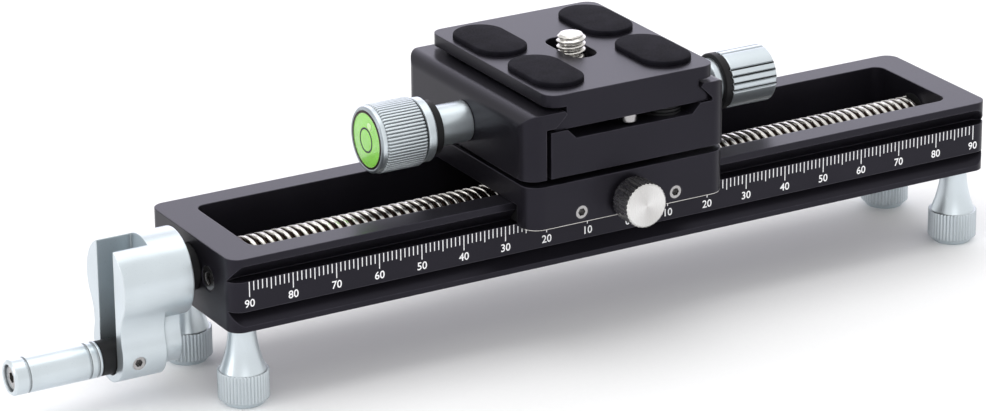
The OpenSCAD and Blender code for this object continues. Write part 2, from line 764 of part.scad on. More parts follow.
// Room for the plate's dovetail and the lips' chamfered tips
module channel_outline() {
  tip = dovetail_w / 2 + lip_shift;
  neck = neck_w / 2 + lip_shift;
  translate([channel_mid, 0])
    polygon([
      [-tip, channel_z], [tip, channel_z], [tip, dove_z], [neck, neck_z - 0.15],
      [neck + lip_flare, clamp_top], [neck + lip_flare, clamp_top + over],
      [-neck - lip_flare, clamp_top + over], [-neck - lip_flare, clamp_top],
      [-neck, neck_z - 0.15], [-tip, dove_z]]);
}

module scoop_outline() {
  translate([channel_mid, scoop_z])
    polygon([[-scoop_w / 2, 0], [scoop_w / 2, 0],
      [scoop_w / 2 + scoop_depth + over, scoop_depth + over],
      [-scoop_w / 2 - scoop_depth - over, scoop_depth + over]]);
}

module clamp_plan() {
  translate([carriage_x, 0, clamp_z - over])
    round_block(clamp_l, clamp_w, clamp_h + 2 * over, clamp_corner);
}

module clamp_base() {
  color(black) difference() {
    intersection() {
      along_y(clamp_w) difference() {
        clamp_outline();
        channel_outline();
        translate([clamp_x0 - over, clamp_z - over])
          square([base_x0 - clamp_x0 + over, clamp_h + 2 * over]);
        translate([clamp_x0, channel_z]) square([channel_mid - clamp_x0, clamp_h]);
      }
      clamp_plan();
    }
    for (s = [-1, 1]) translate([0, s * (clamp_w / 2 - scoop_l / 2 + over / 2), 0])
      along_y(scoop_l + over) scoop_outline();
    translate([carriage_x, 0, clamp_z - over]) cylinder(h = clamp_h, r = post_r + run_gap);
    translate([carriage_x, 0, disc_seat]) cylinder(h = clamp_h, r = disc_r + 0.2);
    translate([0, 0, clamp_axis_z]) rod_x(base_x0 - over, screw_end_x + 0.3, clamp_screw_d / 2 + run_gap);
    for (s = [-1, 1]) translate([0, s * pin_y, pin_z]) {
      rod_x(base_x0 - over, pin_end_x + 0.4, guide_pin_d / 2 + run_gap);
      rod_x(base_x0 - over, base_x0 + spring_l - jaw_gap + 0.1, spring_r + 0.25);
    }
    translate([0, 0, pan_axis_z]) rod_x(carriage_x + post_r, clamp_x1 + over, pan_stud_d / 2 + run_gap);
  }
}
pin_end_x = carriage_x - disc_r + 1;
spring_r = guide_pin_d / 2 + 0.95;

module clamp_jaw() {
  color(black) difference() {
    intersection() {
      along_y(clamp_w) difference() {
        intersection() {
          clamp_outline();
          translate([clamp_x0 - over, clamp_z - over])
            square([channel_mid - neck_w / 2 - lip_shift - clamp_x0 + over, clamp_h + 2 * over]);
        }
        channel_outline();
        translate([clamp_x0 + jaw_t, clamp_z - over]) square([clamp_l, jaw_underside - clamp_z + over]);
      }
      clamp_plan();
    }
    translate([0, 0, clamp_axis_z]) rod_x(clamp_x0 - over, base_x0, clamp_screw_d / 2 + run_gap);
    for (s = [-1, 1]) translate([0, s * pin_y, pin_z])
      rod_x(clamp_x0 + 1.2, base_x0, guide_pin_d / 2 + 0.01);
  }
}

module guide_pins() {
  color(steel) for (s = [-1, 1]) translate([0, s * pin_y, pin_z])
    rod_x(clamp_x0 + 1.3, pin_end_x, guide_pin_d / 2);
}

// Two coil springs round the guide pins, wound from square wire with ground ends
module jaw_springs() {
  wire = 0.6;
  turns = 4;
  arc = 360 * wire * turns / spring_l;
  rim = [spring_r, spring_r - wire];
  color(steel) for (s = [-1, 1]) translate([clamp_x0 + jaw_t, s * pin_y, pin_z]) rotate([0, 90, 0])
    linear_extrude(spring_l, twist = -360 * turns, $fn = 12)
      polygon([for (k = [0, 1], i = [0 : 4]) let (a = arc * (k == 0 ? i : 4 - i) / 4)
        [rim[k] * cos(a), rim[k] * sin(a)]]);
}

module clamp_knob() {
  r = clamp_knob_d / 2;
  neck_r = clamp_neck_d / 2;
  knurl_l = clamp_knob_l - knob_flange - knob_groove - knob_rim;
  color(silver) translate([knob_x0, 0, clamp_axis_z]) rotate([0, 90, 0]) difference() {
    union() {
      cylinder(h = knob_rim, r1 = r - 0.45, r2 = r - knurl_depth - 0.03);
      translate([0, 0, knob_rim]) linear_extrude(knurl_l) knurl(r, clamp_teeth);
      cylinder(h = clamp_knob_l, r = r - 0.8);
      translate([0, 0, clamp_knob_l - knob_flange]) cylinder(h = knob_flange - 0.4, r = r);
      translate([0, 0, clamp_knob_l - 0.4]) cylinder(h = 0.4, r1 = r, r2 = r - 0.4);
      translate([0, 0, clamp_knob_l]) cylinder(h = clamp_neck_l - face_gap, r = neck_r);
    }
    translate([0, 0, -over]) cylinder(h = vial_depth + over, r = vial_r + 0.02);
    translate([0, 0, vial_depth + 2])
      cylinder(h = clamp_knob_l + clamp_neck_l, r = clamp_screw_d / 2 + 0.01);
  }
}

module clamp_screw() {
  color(steel) translate([0, 0, clamp_axis_z])
    rod_x(knob_x0 + vial_depth + 2.1, screw_end_x, clamp_screw_d / 2);
}

module level_vial() {
  color("#9be05a") translate([0, 0, clamp_axis_z])
    rod_x(knob_x0 + 1.4, knob_x0 + vial_depth, vial_r);
}

module level_window() {
  color("#dfeee0") translate([0, 0, clamp_axis_z])
    rod_x(knob_x0 + 0.3, knob_x0 + 1.38, vial_r);
}

module pan_knob() {
  r = pan_knob_d / 2;
  groove_w = 0.5;
  color(silver) translate([0, 0, pan_axis_z]) difference() {
    union() {
      rod_x(clamp_x1 + face_gap, pan_collar_x - 2.1, pan_stud_d / 2 + 1.6);
      rod_x(pan_collar_x - 2.1, pan_collar_x, r - 1);
      rod_x(pan_collar_x, pan_grip_x, r - 1.6);
      rod_x(pan_grip_x, pan_grip_x + pan_knob_l - 0.8, r);
      translate([pan_grip_x + pan_knob_l - 0.8, 0, 0]) rotate([0, 90, 0])
        cylinder(h = 0.8, r1 = r, r2 = r - 0.8);
    }
    rod_x(clamp_x1, pan_grip_x + 3, pan_stud_d / 2 + 0.01);
    // four groups of four grip grooves
    for (g = [0 : 3], i = [-1.5 : 1.5]) rotate([g * 90 + 45 + i * 15, 0, 0])
      translate([pan_grip_x + 0.4, -groove_w / 2, r - 0.35]) cube([pan_knob_l, groove_w, over]);
  }
}

module pan_collar() {
  color(rubber) translate([0, 0, pan_axis_z]) difference() {
    rod_x(pan_collar_x + 0.02, pan_grip_x - 0.02, pan_knob_d / 2);
    rod_x(pan_collar_x - over, pan_grip_x + over, pan_knob_d / 2 - 1.58);
  }
}

module pan_stud() {
  color(steel) translate([0, 0, pan_axis_z])
    rod_x(carriage_x + post_r + 0.1, pan_grip_x + 2.9, pan_stud_d / 2);
}

// --- plate ---

module plate_outline() {
  tip = dovetail_w / 2;
  neck = neck_w / 2;
  flange = plate_w / 2;
  translate([channel_mid, 0])
    polygon([
      [-tip, plate_z], [tip, plate_z], [tip, dove_z], [neck, neck_z],
      [neck, flange_z], [flange, flange_z], [flange, plate_top], [-flange, plate_top],
      [-flange, flange_z], [-neck, flange_z], [-neck, neck_z], [-tip, dove_z]]);
}

module quick_plate() {
  color(black) difference() {
    intersection() {
      along_y(plate_l) plate_outline();
      translate([channel_mid, 0, plate_z - over])
        round_block(plate_w, plate_l, plate_h + 2 * over, plate_corner);
    }
    translate([channel_mid, 0, plate_z - over]) {
      linear_extrude(plate_h + 2 * over) stadium(camera_screw_d + 0.3, slot_l);
      linear_extrude(plate_h - slot_roof + over) stadium(recess_w, slot_l - camera_screw_d + recess_w);
    }
    for (s = [-1, 1]) translate([channel_mid, s * stop_y, plate_z - over])
      cylinder(h = 2.2 + over, r = stop_d / 2 + 0.01);
  }
}

module pad(sx, sy) {
  bevel = 0.4;
  color(rubber) translate([channel_mid + sx * pad_x, sy * pad_y, plate_top]) {
    linear_extrude(pad_up - bevel) stadium(pad_w, pad_l);
    translate([0, 0, pad_up - bevel]) linear_extrude(bevel) stadium(pad_w - bevel, pad_l - bevel);
  }
}

module pad_front_left() { pad(-1, -1); }
module pad_front_right() { pad(1, -1); }
module pad_back_left() { pad(-1, 1); }
module pad_back_right() { pad(1, 1); }

module stop_pins() {
  color(silver) for (s = [-1, 1]) translate([channel_mid, s * stop_y, plate_z - 1.7])
    cylinder(h = 1.7 + 2.1, r = stop_d / 2);
}

module camera_screw() {
  r = camera_screw_d / 2;
  head_z = plate_z + 0.5;
  neck = plate_top - slot_roof - 1.4;
  color(steel) translate([channel_mid, 0, 0]) difference() {
    union() {
      translate([0, 0, head_z]) cylinder(h = neck - head_z, r = screw_head_r);
      translate([0, 0, head_z]) cylinder(h = plate_top + 0.3 - head_z, r = shank_r);
      translate([0, 0, plate_top + 0.2]) cylinder(h = camera_screw_up - 0.9, r = r);
      translate([0, 0, plate_top + camera_screw_up - 0.7]) cylinder(h = 0.7, r1 = r, r2 = r - 0.7);
    }
    // slot for a coin
    translate([0, 0, head_z - over]) linear_extrude(over + 1.3)
      square([3 * screw_head_r, 1.6], center = true);
  }
}

module screw_washer() {
  ledge_z = plate_top - slot_roof;
  color(rubber) translate([channel_mid, 0, ledge_z - 1.3]) difference() {
    cylinder(h = 1.2, r = washer_rim_r);
    translate([0, 0, -over]) cylinder(h = 1.2 + 2 * over, r = shank_r + run_gap);
  }
}

rail_body();
crank_end_bush();
far_end_bush();
bearing_plate();
bearing_screws();
foot_front_left();
foot_front_right();
foot_back_left();
foot_back_right();
lead_screw();
crank_collar();
inner_thrust_ring();
crank_body();
handle_pivot_pin();
handle_root();
handle_spindle();
spindle_screw();
handle_grip();
carriage_saddle();
drive_nut();
nut_screws();
gib_strip();
gib_screws();
slide_strips();
pan_post();
pan_disc();
pan_bolt();
friction_washer();
lock_knob();
clamp_base();
clamp_jaw();
guide_pins();
jaw_springs();
clamp_knob();
clamp_screw();
level_vial();
level_window();
pan_knob();
pan_collar();
pan_stud();
quick_plate();
pad_front_left();
pad_front_right();
pad_back_left();
pad_back_right();
stop_pins();
camera_screw();
screw_washer();
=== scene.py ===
import json
import math

import bmesh
import bpy
from mathutils import Matrix, Vector


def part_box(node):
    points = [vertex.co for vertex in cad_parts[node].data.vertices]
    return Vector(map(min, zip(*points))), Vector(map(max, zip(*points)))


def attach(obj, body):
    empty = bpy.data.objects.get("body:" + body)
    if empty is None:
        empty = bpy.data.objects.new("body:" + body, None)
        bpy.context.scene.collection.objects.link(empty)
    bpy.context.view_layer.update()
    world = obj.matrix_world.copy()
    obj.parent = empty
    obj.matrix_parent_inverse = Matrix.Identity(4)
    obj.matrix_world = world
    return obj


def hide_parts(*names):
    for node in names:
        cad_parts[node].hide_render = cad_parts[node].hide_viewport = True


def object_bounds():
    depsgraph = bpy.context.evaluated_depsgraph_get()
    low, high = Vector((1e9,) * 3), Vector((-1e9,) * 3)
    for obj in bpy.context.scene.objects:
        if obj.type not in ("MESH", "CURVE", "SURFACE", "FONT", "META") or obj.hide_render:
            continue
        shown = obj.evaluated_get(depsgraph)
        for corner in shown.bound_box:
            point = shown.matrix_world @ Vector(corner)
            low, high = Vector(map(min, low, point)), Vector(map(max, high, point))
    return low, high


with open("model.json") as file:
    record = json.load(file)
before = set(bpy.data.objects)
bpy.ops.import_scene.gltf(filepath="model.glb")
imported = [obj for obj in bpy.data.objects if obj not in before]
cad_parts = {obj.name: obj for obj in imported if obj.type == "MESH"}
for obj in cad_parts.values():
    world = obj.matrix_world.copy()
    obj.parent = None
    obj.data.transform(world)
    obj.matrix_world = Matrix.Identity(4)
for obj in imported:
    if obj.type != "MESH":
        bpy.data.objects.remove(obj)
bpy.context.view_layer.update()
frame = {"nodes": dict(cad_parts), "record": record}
print("stage: frame loaded,", len(frame["nodes"]), "nodes")

mm = 0.001

# Corners of the CAD nodes that the pieces follow, in metres
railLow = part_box("rail_body")[0]
screwLow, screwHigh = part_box("lead_screw")
knobLow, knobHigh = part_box("clamp_knob")
vialLow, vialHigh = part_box("level_vial")
lockLow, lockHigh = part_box("lock_knob")
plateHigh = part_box("quick_plate")[1]
stubLow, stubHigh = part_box("camera_screw")
panLow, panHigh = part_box("pan_knob")
collarLow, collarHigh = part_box("pan_collar")
saddleLow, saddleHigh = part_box("carriage_saddle")

# The camera stands where the photo's printed scale puts it; angles in degrees, clips in metres
camera = {
    "place": (-0.44638, -0.74504, 0.33471), "azimuth": 29.659, "elevation": 20.865, "roll": -0.5537,
    "lens": 156.6, "sensor": 36, "nearest": 0.02, "farthest": 30,
}
az, el, roll = (math.radians(camera[k]) for k in ("azimuth", "elevation", "roll"))
ahead = Vector((math.sin(az) * math.cos(el), math.cos(az) * math.cos(el), -math.sin(el)))
right = Vector((math.cos(az), -math.sin(az), 0))
up = right.cross(ahead)
rightRolled = math.cos(roll) * right + math.sin(roll) * up
upRolled = math.cos(roll) * up - math.sin(roll) * right
camData = bpy.data.cameras.new("photoCamera")
camData.lens = camera["lens"]
camData.sensor_width = camera["sensor"]
camData.clip_start = camera["nearest"]
camData.clip_end = camera["farthest"]
camObject = bpy.data.objects.new("photoCamera", camData)
turn = Matrix((rightRolled, upRolled, -ahead)).transposed().to_4x4()
camObject.matrix_world = Matrix.Translation(camera["place"]) @ turn
bpy.context.scene.collection.objects.link(camObject)
bpy.context.scene.camera = camObject
bpy.context.scene.view_settings.view_transform = "Standard"

# Soft boxes that all face the middle of the rail
lampAim = Vector((0, 0, 0))
lamps = {
    "topSoftbox": {"place": (0.0, 0.1, 1.3), "size": (1.3, 1.1), "watts": 5, "colour": (1, 1, 1)},
    "backCard": {"place": (0.9, 1.5, 0.62), "size": (2.4, 1.1), "watts": 9.5, "colour": (0.80, 0.76, 1)},
    "leftStrip": {"place": (-1.2, 0.1, 0.45), "size": (0.5, 0.9), "watts": 2.5, "colour": (1, 1, 1)},
    "frontFill": {"place": (-0.5, -1.5, 0.9), "size": (0.9, 0.6), "watts": 2.0, "colour": (1, 1, 1)},
}
for lampName, lamp in lamps.items():
    lampData = bpy.data.lights.new(lampName, "AREA")
    lampData.shape = "RECTANGLE"
    lampData.size, lampData.size_y = lamp["size"]
    lampData.energy = lamp["watts"]
    lampData.color = lamp["colour"]
    lampObject = bpy.data.objects.new(lampName, lampData)
    lampObject.location = lamp["place"]
    lampObject.rotation_euler = (lampAim - Vector(lamp["place"])).to_track_quat("-Z", "Y").to_euler()
    bpy.context.scene.collection.objects.link(lampObject)

floorSheet = {"half": 6.0, "below": 0.00002}
floorData = bpy.data.meshes.new("floor")
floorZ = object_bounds()[0][2] - floorSheet["below"]
floorCorners = ((-1, -1), (1, -1), (1, 1), (-1, 1))
floorData.from_pydata(
    [(x * floorSheet["half"], y * floorSheet["half"], floorZ) for x, y in floorCorners], [], [(0, 1, 2, 3)])
floor = bpy.data.objects.new("floor", floorData)
bpy.context.scene.collection.objects.link(floor)

# White is what camera, metal and glass see; the object's own light is a little below it
sky = {"onObject": (0.92, 0.92, 0.92), "shown": (1, 1, 1), "strength": 1.0}
world = bpy.data.worlds.new("studio")
bpy.context.scene.world = world
world.use_nodes = True
worldNodes = world.node_tree.nodes
worldLinks = world.node_tree.links
backdrop = worldNodes["Background"]
backdrop.inputs["Strength"].default_value = sky["strength"]
lightPath = worldNodes.new("ShaderNodeLightPath")
seen = lightPath.outputs["Is Camera Ray"]
for kind in ("Is Glossy Ray", "Is Transmission Ray"):
    either = worldNodes.new("ShaderNodeMath")
    either.operation = "MAXIMUM"
    worldLinks.new(seen, either.inputs[0])
    worldLinks.new(lightPath.outputs[kind], either.inputs[1])
    seen = either.outputs[0]
skyMix = worldNodes.new("ShaderNodeMix")
skyMix.data_type = "RGBA"
skyMix.inputs["A"].default_value = (*sky["onObject"], 1)
skyMix.inputs["B"].default_value = (*sky["shown"], 1)
worldLinks.new(seen, skyMix.inputs["Factor"])
worldLinks.new(skyMix.outputs["Result"], backdrop.inputs["Color"])
print("stage: camera, lights and floor")


def link(tree, source, target):
    tree.links.new(source, target)


def mathNode(tree, operation, a, b=None):
    node = tree.nodes.new("ShaderNodeMath")
    node.operation = operation
    for slot, value in zip(node.inputs, (a, b)):
        if value is None:
            continue
        if isinstance(value, (int, float)):
            slot.default_value = value
        else:
            link(tree, value, slot)
    return node.outputs[0]


def ramp(tree, value, low, high, toLow=0.0, toHigh=1.0):
    node = tree.nodes.new("ShaderNodeMapRange")
    link(tree, value, node.inputs["Value"])
    for key, number in (("From Min", low), ("From Max", high), ("To Min", toLow), ("To Max", toHigh)):
        node.inputs[key].default_value = number
    return node.outputs["Result"]


def colourMix(tree, factor, a, b):
    node = tree.nodes.new("ShaderNodeMix")
    node.data_type = "RGBA"
    if isinstance(factor, float):
        node.inputs["Factor"].default_value = factor
    else:
        link(tree, factor, node.inputs["Factor"])
    for key, value in (("A", a), ("B", b)):
        if isinstance(value, tuple):
            node.inputs[key].default_value = (*value, 1)
        else:
            link(tree, value, node.inputs[key])
    return node.outputs["Result"]


def noise(tree, vector, scale, detail=3.0, rough=0.55):
    node = tree.nodes.new("ShaderNodeTexNoise")
    link(tree, vector, node.inputs["Vector"])
    node.inputs["Scale"].default_value = scale
    node.inputs["Detail"].default_value = detail
    node.inputs["Roughness"].default_value = rough
    return node.outputs["Fac"]


def stretched(tree, vector, scale):
    node = tree.nodes.new("ShaderNodeMapping")
    link(tree, vector, node.inputs["Vector"])
    node.inputs["Scale"].default_value = scale
    return node.outputs["Vector"]


# What all finishes share; each finish below has its own colours and scales
surface = {
    "ior": 1.5, "coatRough": 0.12, "bumpDepth": 0.00004,
    "driftDetail": 2.0, "driftBand": (0.35, 0.65),
    "grainDetail": 4.0, "grainRough": 0.6, "grainBand": (0.3, 0.7),
    "edgeSamples": 6, "paintedShadeSamples": 10, "paintedShadeBand": (0.25, 0.9), "paintedShadeTone": 0.06,
    "wearAndHighlightBand": (0.995, 0.86), "patchScale": 260, "patchBand": (0.35, 0.6), "patchShare": (0.4, 1.0),
}


# One finish: base colour with slow drift, fine grain in roughness and bump,
# softened edges, painted shade that darkens the nooks, and a lighter line along edges that is partly real
# rubbing and partly painted highlight
def finish(name, look):
    material = bpy.data.materials.new(name)
    material.use_nodes = True
    tree = material.node_tree
    shader = tree.nodes["Principled BSDF"]
    shader.inputs["Metallic"].default_value = look["metal"]
    shader.inputs["IOR"].default_value = surface["ior"]
    shader.inputs["Coat Weight"].default_value = look.get("coat", 0.0)
    shader.inputs["Coat Roughness"].default_value = surface["coatRough"]
    shader.inputs["Specular IOR Level"].default_value = look.get("specular", 0.5)
    shader.inputs["Specular Tint"].default_value = (*look.get("tint", (1, 1, 1)), 1)
    place = tree.nodes.new("ShaderNodeTexCoord").outputs["Object"]
    drift = noise(tree, place, look["driftScale"], surface["driftDetail"])
    tone = look["colour"]
    dark = tuple(c * (1 - look["drift"]) for c in tone)
    light = tuple(min(1, c * (1 + look["drift"])) for c in tone)
    colour = colourMix(tree, ramp(tree, drift, *surface["driftBand"]), dark, light)

    grainPlace = stretched(tree, place, look.get("stretch", (1, 1, 1)))
    grain = noise(tree, grainPlace, look["grainScale"], surface["grainDetail"], surface["grainRough"])
    roughLow = look["rough"] - look["roughSpan"]
    roughHigh = look["rough"] + look["roughSpan"]
    link(tree, ramp(tree, grain, *surface["grainBand"], roughLow, roughHigh), shader.inputs["Roughness"])

    softEdge = tree.nodes.new("ShaderNodeBevel")
    softEdge.samples = surface["edgeSamples"]
    softEdge.inputs["Radius"].default_value = look["edge"] * mm
    bump = tree.nodes.new("ShaderNodeBump")
    bump.inputs["Strength"].default_value = look["bump"]
    bump.inputs["Distance"].default_value = look.get("bumpDepth", surface["bumpDepth"])
    link(tree, grain, bump.inputs["Height"])
    link(tree, softEdge.outputs["Normal"], bump.inputs["Normal"])
    link(tree, bump.outputs["Normal"], shader.inputs["Normal"])

    # Painted shade: ambient occlusion darkens the colour in hollows, grooves and knurls, where shade falls
    if look.get("paintedShade"):
        paintedShadeAo = tree.nodes.new("ShaderNodeAmbientOcclusion")
        paintedShadeAo.samples = surface["paintedShadeSamples"]
        paintedShadeAo.only_local = True   # so a pose never changes the colour
        paintedShadeAo.inputs["Distance"].default_value = look["paintedShadeReach"] * mm
        shade = ramp(tree, paintedShadeAo.outputs["AO"], *surface["paintedShadeBand"], look["paintedShade"], 0.0)
        colour = colourMix(tree, shade, colour, tuple(c * surface["paintedShadeTone"] for c in tone))
    # Partly real rubbing, partly painted highlight: the colour lightens along edges where the softened normal
    # turns from the flat one
    if look.get("wearAndHighlight"):
        flat = tree.nodes.new("ShaderNodeNewGeometry").outputs["Normal"]
        agree = tree.nodes.new("ShaderNodeVectorMath")
        agree.operation = "DOT_PRODUCT"
        link(tree, softEdge.outputs["Normal"], agree.inputs[0])
        link(tree, flat, agree.inputs[1])
        wornAndHighlit = ramp(tree, agree.outputs["Value"], *surface["wearAndHighlightBand"], 0.0, look["wearAndHighlight"])
        patch = noise(tree, place, surface["patchScale"])
        patch = ramp(tree, patch, *surface["patchBand"], *surface["patchShare"])
        colour = colourMix(tree, mathNode(tree, "MULTIPLY", wornAndHighlit, patch), colour, look["wearAndHighlightColour"])
    link(tree, colour, shader.inputs["Base Color"])
    return material


anodised = {
    "colour": (0.0085, 0.0078, 0.0105), "drift": 0.12, "driftScale": 45, "metal": 0.0,
    "rough": 0.31, "roughSpan": 0.04, "grainScale": 5200, "bump": 0.10, "edge": 0.35,
    "specular": 0.235, "tint": (0.82, 0.79, 1.0), "wearAndHighlight": 0.5, "wearAndHighlightColour": (0.10, 0.095, 0.12),
}
silver = {
    "colour": (0.62, 0.68, 0.715), "drift": 0.05, "driftScale": 60, "metal": 0.85,
    "rough": 0.32, "roughSpan": 0.05, "grainScale": 4200, "bump": 0.14, "edge": 0.4,
    "paintedShade": 0.6, "paintedShadeReach": 2,
    "wearAndHighlight": 0.35, "wearAndHighlightColour": (0.78, 0.82, 0.84),
}
turnedSteel = {
    "colour": (0.50, 0.49, 0.47), "drift": 0.08, "driftScale": 90, "metal": 1.0,
    "rough": 0.3, "roughSpan": 0.07, "grainScale": 2600, "bump": 0.25, "edge": 0.15,
    "paintedShade": 0.5, "paintedShadeReach": 1.2,
    "stretch": (1, 0.05, 0.05), "wearAndHighlight": 0.3, "wearAndHighlightColour": (0.72, 0.71, 0.69),
}
bushBrass = {
    "colour": (0.56, 0.40, 0.14), "drift": 0.1, "driftScale": 120, "metal": 1.0,
    "rough": 0.34, "roughSpan": 0.08, "grainScale": 2600, "bump": 0.2, "edge": 0.15,
}
mouldedBlack = {
    "colour": (0.012, 0.012, 0.013), "drift": 0.15, "driftScale": 150, "metal": 0.0,
    "rough": 0.5, "roughSpan": 0.08, "grainScale": 3600, "bump": 0.2, "edge": 0.2,
    "specular": 0.2,
}
padRubber = {
    "colour": (0.009, 0.0085, 0.012), "drift": 0.22, "driftScale": 300, "metal": 0.0,
    "rough": 0.62, "roughSpan": 0.1, "grainScale": 3000, "bump": 0.55, "bumpDepth": 0.00006,
    "edge": 0.1, "specular": 0.03,
}
stripWhite = {
    "colour": (0.70, 0.69, 0.64), "drift": 0.05, "driftScale": 120, "metal": 0.0,
    "rough": 0.45, "roughSpan": 0.05, "grainScale": 2600, "bump": 0.1, "edge": 0.1,
}
printWhite = {
    "colour": (0.92, 0.92, 0.93), "drift": 0.04, "driftScale": 900, "metal": 0.0,
    "rough": 0.55, "roughSpan": 0.08, "grainScale": 6000, "bump": 0.2, "bumpDepth": 0.00001,
    "edge": 0.01,
}
# Lighter and darker copies of the steel: painted highlight on the screw's ridges and the carriage edge,
# painted shade in the screw's grooves
highlightAndBrightSteelLook = {**turnedSteel, "colour": (0.66, 0.64, 0.61), "rough": 0.24, "edge": 0.08, "wearAndHighlight": 0}
chromedScrew = {**turnedSteel, "colour": (0.40, 0.39, 0.39), "rough": 0.24, "edge": 0.2, "wearAndHighlight": 0}
# Painted reflection: a darker copy of the silver for the clamp knob's front rim, standing in for the dark it
# reflects
knobRimDarkReflection = {**silver, "colour": (0.34, 0.38, 0.41), "paintedShade": 0}
shadeAndDarkSteelLook = {**turnedSteel, "colour": (0.045, 0.030, 0.024), "rough": 0.42, "edge": 0.05, "wearAndHighlight": 0}
levelFluid = {
    "colour": (0.24, 0.74, 0.012), "drift": 0.05, "driftScale": 200, "metal": 0.0, "rough": 0.22,
    "roughSpan": 0.03, "grainScale": 900, "bump": 0.02, "edge": 0.2, "coat": 0.8,
}
levelBubble = {
    "colour": (0.55, 0.86, 0.30), "drift": 0.05, "driftScale": 900, "metal": 0.0, "rough": 0.2,
    "roughSpan": 0.03, "grainScale": 1500, "bump": 0.02, "edge": 0.1, "coat": 1.0,
}
blackRail = finish("blackAnodised", anodised)
silverSatin = finish("silverAnodised", silver)
turned = finish("turnedSteel", turnedSteel)
brass = finish("bushBrass", bushBrass)
moulded = finish("mouldedBlack", mouldedBlack)
rubber = finish("padRubber", padRubber)
stripFace = finish("stripWhite", stripWhite)
scaleInk = finish("scaleInk", printWhite)
brightSteelAndHighlight = finish("brightSteelAndHighlight", highlightAndBrightSteelLook)
chrome = finish("chromedScrew", chromedScrew)
rimPaintedDarkReflection = finish("rimPaintedDarkReflection", knobRimDarkReflection)
darkSteelAndShade = finish("darkSteelAndShade", shadeAndDarkSteelLook)
fluidGreen = finish("fluidGreen", levelFluid)
bubblePale = finish("bubblePale", levelBubble)

# The lock knob's face is turned; two soft bright fans of painted highlight lie across its middle
lockPaintedFanLook = {
    "base": {**turnedSteel, "colour": (0.60, 0.595, 0.58), "rough": 0.27, "wearAndHighlight": 0.4},
    "fans": 2.0, "start": 0.9, "dark": (0.54, 0.53, 0.52), "light": (0.82, 0.815, 0.805), "share": 0.55,
}


def turnedFace(name, centre, look):
    material = finish(name, look["base"])
    tree = material.node_tree
    shader = tree.nodes["Principled BSDF"]
    place = tree.nodes.new("ShaderNodeTexCoord").outputs["Object"]
    parts = tree.nodes.new("ShaderNodeSeparateXYZ")
    link(tree, place, parts.inputs["Vector"])
    # Painted highlight: the colour lightens in soft fans by angle round the face's middle
    across = mathNode(tree, "SUBTRACT", parts.outputs["X"], centre[0])
    high = mathNode(tree, "SUBTRACT", parts.outputs["Z"], centre[2])
    angle = mathNode(tree, "ARCTAN2", high, across)
    paintedFanTurn = mathNode(tree, "ADD", mathNode(tree, "MULTIPLY", angle, look["fans"]), look["start"])
    paintedFan = mathNode(tree, "SINE", paintedFanTurn)
    paintedFanHighlight = colourMix(tree, ramp(tree, paintedFan, -1.0, 1.0), look["dark"], look["light"])
    base = shader.inputs["Base Color"].links[0].from_socket
    link(tree, colourMix(tree, look["share"], base, paintedFanHighlight), shader.inputs["Base Color"])
    return material


lockCentre = [(a + b) / 2 for a, b in zip(lockLow, lockHigh)]
paintedFanLockMaterial = turnedFace("paintedFanLockMaterial", lockCentre, lockPaintedFanLook)

lens = {
    "colour": (0.93, 1.0, 0.90), "rough": 0.05, "alpha": 0.05, "coat": 0.35, "ior": 1.5,
    "waveScale": 700, "wave": 0.02, "waveDepth": 0.00005,
}
lensClear = bpy.data.materials.new("lensClear")
lensClear.use_nodes = True
lensTree = lensClear.node_tree
clear = lensTree.nodes["Principled BSDF"]
clear.inputs["Base Color"].default_value = (*lens["colour"], 1)
clear.inputs["Roughness"].default_value = lens["rough"]
clear.inputs["Alpha"].default_value = lens["alpha"]
clear.inputs["Coat Weight"].default_value = lens["coat"]
clear.inputs["IOR"].default_value = lens["ior"]
lensWave = lensTree.nodes.new("ShaderNodeTexNoise")
lensWave.inputs["Scale"].default_value = lens["waveScale"]
lensBump = lensTree.nodes.new("ShaderNodeBump")
lensBump.inputs["Strength"].default_value = lens["wave"]
lensBump.inputs["Distance"].default_value = lens["waveDepth"]
link(lensTree, lensWave.outputs["Fac"], lensBump.inputs["Height"])
link(lensTree, lensBump.outputs["Normal"], clear.inputs["Normal"])

nodeFinish = {
    "black_anodised": blackRail,
    "silver_anodised": silverSatin,
    "steel": turned,
    "brass": brass,
    "black_plastic": moulded,
    "white_plastic": stripFace,
    "pad_rubber": rubber,
    "vial_green": fluidGreen,
    "clear_window": lensClear,
}
ownFinish = {
    "lock_knob": paintedFanLockMaterial,
    "inner_thrust_ring": darkSteelAndShade,
    "bearing_screws": chrome,
    "gib_screws": chrome,
    "stop_pins": chrome,
    "handle_pivot_pin": chrome,
    "spindle_screw": chrome,
}
slotOf = {entry["node"]: entry["material_slot"] for entry in frame["record"]["subparts"]}
for nodeName, nodeObject in frame["nodes"].items():
    nodeObject.data.materials.clear()
    nodeObject.data.materials.append(ownFinish.get(nodeName, nodeFinish[slotOf[nodeName]]))

paperLook = {
    "rough": 0.9, "specular": 0.1, "grain": 900, "dark": (0.93, 0.93, 0.935), "light": (0.96, 0.96, 0.96),
}
floorMaterial = bpy.data.materials.new("paperFloor")
floorMaterial.use_nodes = True
paper = floorMaterial.node_tree
paperShader = paper.nodes["Principled BSDF"]
paperShader.inputs["Roughness"].default_value = paperLook["rough"]
paperShader.inputs["Specular IOR Level"].default_value = paperLook["specular"]
paperPlace = paper.nodes.new("ShaderNodeTexCoord").outputs["Object"]
paperGrain = noise(paper, paperPlace, paperLook["grain"])
paperTone = colourMix(paper, paperGrain, paperLook["dark"], paperLook["light"])
link(paper, paperTone, paperShader.inputs["Base Color"])
floorData.materials.append(floorMaterial)
print("stage: materials")

creaseAngle = 38   # degrees; a sharper fold than this shows as an edge


